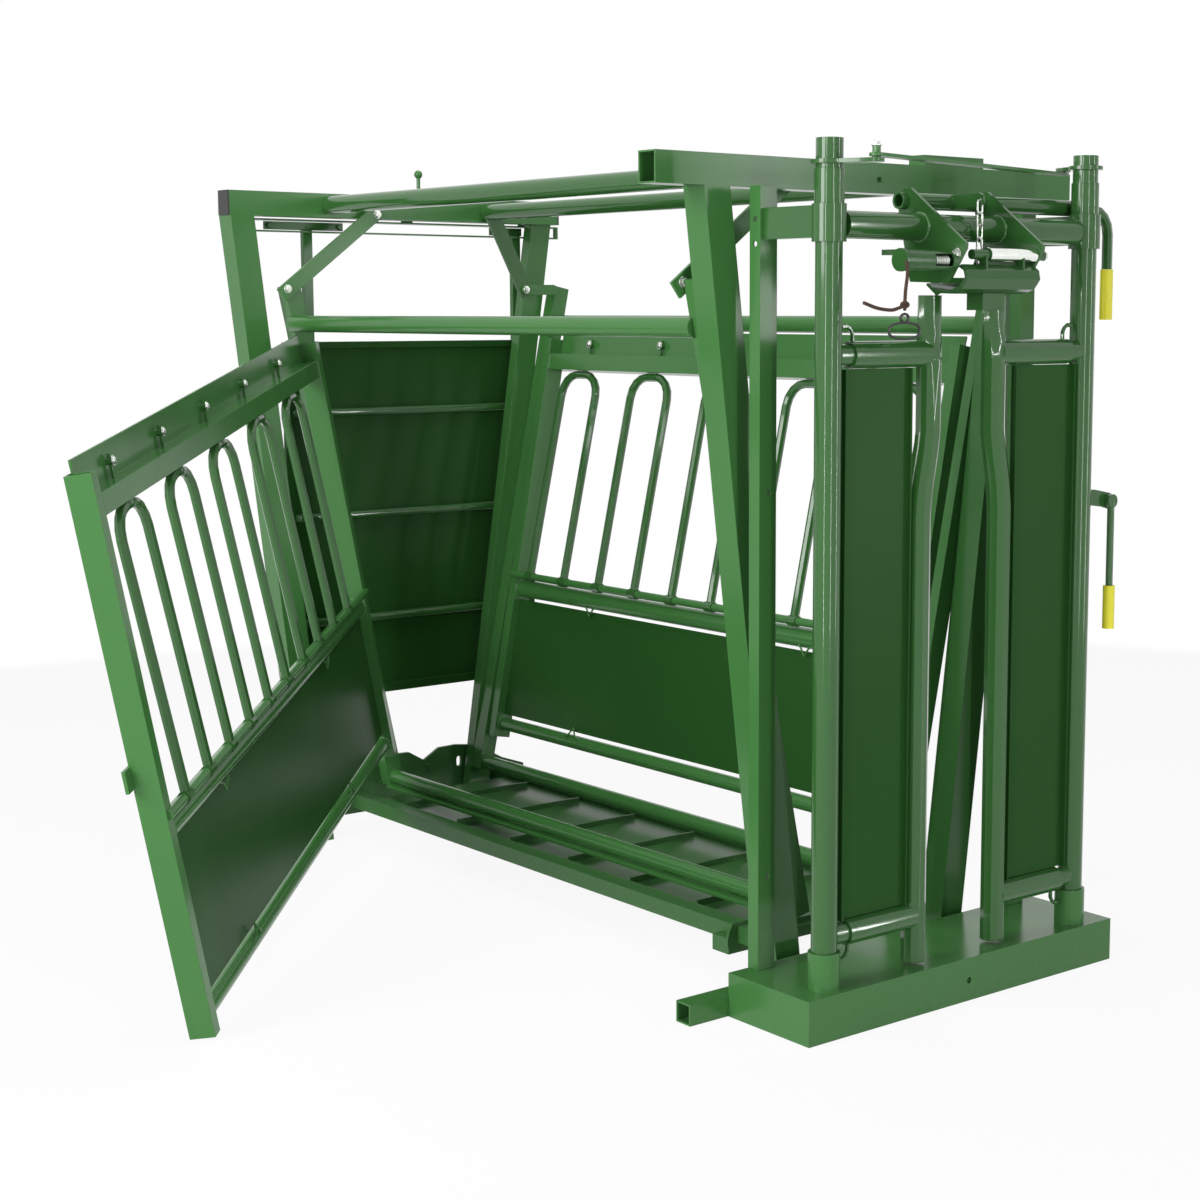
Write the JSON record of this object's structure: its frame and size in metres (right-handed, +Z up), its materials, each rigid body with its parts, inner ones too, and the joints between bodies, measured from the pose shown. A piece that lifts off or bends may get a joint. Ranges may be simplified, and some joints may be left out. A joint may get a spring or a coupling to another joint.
{
  "type": "cattle crush",
  "caption": "Green steel self-catch cattle crush with swinging headgate, leaning side frames, side gates with drop bars, squeeze shaft and sliding tail gate.",
  "frame": {"origin": "on the floor under the middle of the headgate's base box", "axes": "+X across to the far side where the hand levers are, +Y back along the crush to the tail gate, +Z up"},
  "size_m": [2.4501, 2.545, 2.039],
  "materials": {
    "paint": "gloss green enamel",
    "sheet_paint": "satin green enamel on sheet",
    "black_parts": "matt black",
    "grip": "yellow dipped grip",
    "zinc": "zinc plated",
    "rope": "dark laid rope"
  },
  "bodies": {
    "frame": {"base_box": "paint", "stub_tube": "paint", "left_channel": "paint", "right_channel": "paint", "header_frame": "paint", "front_hoop": "paint", "rear_hoop": "paint", "near_tube_cap": "black_parts", "far_tube_cap": "black_parts", "top_tube": "paint", "floor_frame": "paint", "floor_sheet": "paint", "gate_track": "paint", "near_side_frame": "paint", "near_brace_rear": "paint", "near_brace_front": "paint", "plunger_housing": "paint"},
    "near_gate": {"near_gate_frame": "paint", "near_gate_panel": "sheet_paint"},
    "far_gate": {"far_gate_frame": "paint", "far_gate_panel": "sheet_paint"},
    "far_side": {"far_side_frame": "paint"},
    "squeeze_shaft": {"squeeze_shaft": "paint"},
    "squeeze_links": {"squeeze_link_rear": "paint", "squeeze_link_front": "paint"},
    "tail_gate": {"tail_panel": "sheet_paint", "tail_trolley_near": "paint", "tail_trolley_far": "paint", "tail_handle": "black_parts", "tail_knob": "black_parts"},
    "left_gate": {"left_post": "paint", "left_neck": "paint", "left_panel": "sheet_paint"},
    "right_gate": {"right_post": "paint", "right_neck": "paint", "right_panel": "sheet_paint"},
    "link_strap": {"link_strap": "paint"},
    "release": {"release_shaft": "paint", "release_grip": "grip"},
    "latch_pan": {"latch_pan": "paint"},
    "latch_chain": {"latch_chain": "zinc"},
    "plunger": {"plunger": "zinc", "latch_spring": "zinc", "pull_rope": "rope", "pull_ring": "black_parts"},
    "hand_lever": {"hand_lever": "paint", "hand_grip": "grip"},
    "near_bar_1": {"near_drop_bar_1": "paint"},
    "far_bar_1": {"far_drop_bar_1": "paint"},
    "near_bar_2": {"near_drop_bar_2": "paint"},
    "far_bar_2": {"far_drop_bar_2": "paint"},
    "near_bar_3": {"near_drop_bar_3": "paint"},
    "far_bar_3": {"far_drop_bar_3": "paint"},
    "near_bar_4": {"near_drop_bar_4": "paint"},
    "far_bar_4": {"far_drop_bar_4": "paint"},
    "near_bar_5": {"near_drop_bar_5": "paint"},
    "far_bar_5": {"far_drop_bar_5": "paint"}
  },
  "joints": [
    {"name": "near_gate_swing", "type": "hinge", "parent": "frame", "child": "near_gate", "pos_m": [-0.3458, 2.1505, 0.85218], "axis": [0.1862, 0, -0.9825], "range_deg": [-39, 0]},
    {"name": "far_gate_swing", "type": "hinge", "parent": "far_side", "child": "far_gate", "pos_m": [0.3458, 2.1505, 0.85218], "axis": [0.1862, 0, 0.9825], "range_deg": [0, 30]},
    {"name": "near_bar_1_drop", "type": "hinge", "parent": "near_gate", "child": "near_bar_1", "pos_m": [-0.50816, 1.87597, 0.72879], "axis": [-0.6837, -0.7181, -0.1296], "range_deg": [0, 75]},
    {"name": "far_bar_1_drop", "type": "hinge", "parent": "far_gate", "child": "far_bar_1", "pos_m": [0.26991, 1.95, 0.77394], "axis": [0, 1, 0], "range_deg": [0, 44]},
    {"name": "near_bar_2_drop", "type": "hinge", "parent": "near_gate", "child": "near_bar_2", "pos_m": [-0.74104, 1.63137, 0.68466], "axis": [-0.6837, -0.7181, -0.1296], "range_deg": [0, 75]},
    {"name": "far_bar_2_drop", "type": "hinge", "parent": "far_gate", "child": "far_bar_2", "pos_m": [0.26991, 1.592, 0.77394], "axis": [0, 1, 0], "range_deg": [0, 44]},
    {"name": "near_bar_3_drop", "type": "hinge", "parent": "near_gate", "child": "near_bar_3", "pos_m": [-0.97393, 1.38678, 0.64053], "axis": [-0.6837, -0.7181, -0.1296], "range_deg": [0, 75]},
    {"name": "far_bar_3_drop", "type": "hinge", "parent": "far_gate", "child": "far_bar_3", "pos_m": [0.26991, 1.234, 0.77394], "axis": [0, 1, 0], "range_deg": [0, 44]},
    {"name": "near_bar_4_drop", "type": "hinge", "parent": "near_gate", "child": "near_bar_4", "pos_m": [-1.20681, 1.14218, 0.5964], "axis": [-0.6837, -0.7181, -0.1296], "range_deg": [0, 75]},
    {"name": "far_bar_4_drop", "type": "hinge", "parent": "far_gate", "child": "far_bar_4", "pos_m": [0.26991, 0.876, 0.77394], "axis": [0, 1, 0], "range_deg": [0, 44]},
    {"name": "near_bar_5_drop", "type": "hinge", "parent": "near_gate", "child": "near_bar_5", "pos_m": [-1.4397, 0.89759, 0.55227], "axis": [-0.6837, -0.7181, -0.1296], "range_deg": [0, 75]},
    {"name": "far_bar_5_drop", "type": "hinge", "parent": "far_gate", "child": "far_bar_5", "pos_m": [0.26991, 0.518, 0.77394], "axis": [0, 1, 0], "range_deg": [0, 44]},
    {"name": "far_side_squeeze", "type": "hinge", "parent": "frame", "child": "far_side", "pos_m": [0.17, 2.1525, 0.17], "axis": [0, -1, 0], "range_deg": [0, 6]},
    {"name": "squeeze_shaft_turn", "type": "hinge", "parent": "frame", "child": "squeeze_shaft", "pos_m": [0.205, 2.1525, 1.916], "axis": [0, 1, 0], "range_deg": [0, 33]},
    {"name": "squeeze_links_turn", "type": "hinge", "parent": "squeeze_shaft", "child": "squeeze_links", "pos_m": [0.329, 2.1385, 1.678], "axis": [0, -1, 0], "range_deg": [0, 60]},
    {"name": "tail_gate_slide", "type": "slide", "parent": "frame", "child": "tail_gate", "axis": [1, 0, 0], "range_m": [0, 0.6]},
    {"name": "left_gate_swing", "type": "hinge", "parent": "frame", "child": "left_gate", "pos_m": [-0.415, -0.0825, 0.9], "axis": [0, 0, -1], "range_deg": [-15, 70]},
    {"name": "right_gate_swing", "type": "hinge", "parent": "frame", "child": "right_gate", "pos_m": [0.415, -0.0825, 0.9], "axis": [0, 0, 1], "range_deg": [-15, 70]},
    {"name": "link_strap_turn", "type": "hinge", "parent": "left_gate", "child": "link_strap", "pos_m": [-0.378, -0.1875, 1.937], "axis": [0, 0, 1], "range_deg": [-15, 66]},
    {"name": "release_turn", "type": "hinge", "parent": "frame", "child": "release", "pos_m": [0, -0.0295, 1.855], "axis": [-1, 0, 0], "range_deg": [0, 28], "stiffness_Nm_per_rad": 6},
    {"name": "latch_pan_lift", "type": "hinge", "parent": "frame", "child": "latch_pan", "pos_m": [0, -0.1985, 1.734], "axis": [1, 0, 0], "range_deg": [0, 38]},
    {"name": "latch_chain_hang", "type": "hinge", "parent": "release", "child": "latch_chain", "pos_m": [0.002, -0.1295, 1.858], "axis": [1, 0, 0], "range_deg": [0, 24]},
    {"name": "plunger_pull", "type": "slide", "parent": "frame", "child": "plunger", "axis": [-1, 0, 0], "range_m": [0, 0.035], "stiffness_N_per_m": 900},
    {"name": "hand_lever_swing", "type": "hinge", "parent": "right_gate", "child": "hand_lever", "pos_m": [0.522, -0.0955, 1.148], "axis": [0, -1, 0], "range_deg": [0, 110]}
  ],
  "couplings": [
    {"joint": "squeeze_shaft_turn", "follows": "far_side_squeeze", "ratio": 5.41},
    {"joint": "squeeze_links_turn", "follows": "far_side_squeeze", "ratio": 9.9},
    {"joint": "right_gate_swing", "follows": "left_gate_swing", "ratio": 1},
    {"joint": "link_strap_turn", "follows": "left_gate_swing", "ratio": 0.938},
    {"joint": "latch_pan_lift", "follows": "release_turn", "ratio": 1.35},
    {"joint": "latch_chain_hang", "follows": "release_turn", "ratio": 0.852}
  ]
}
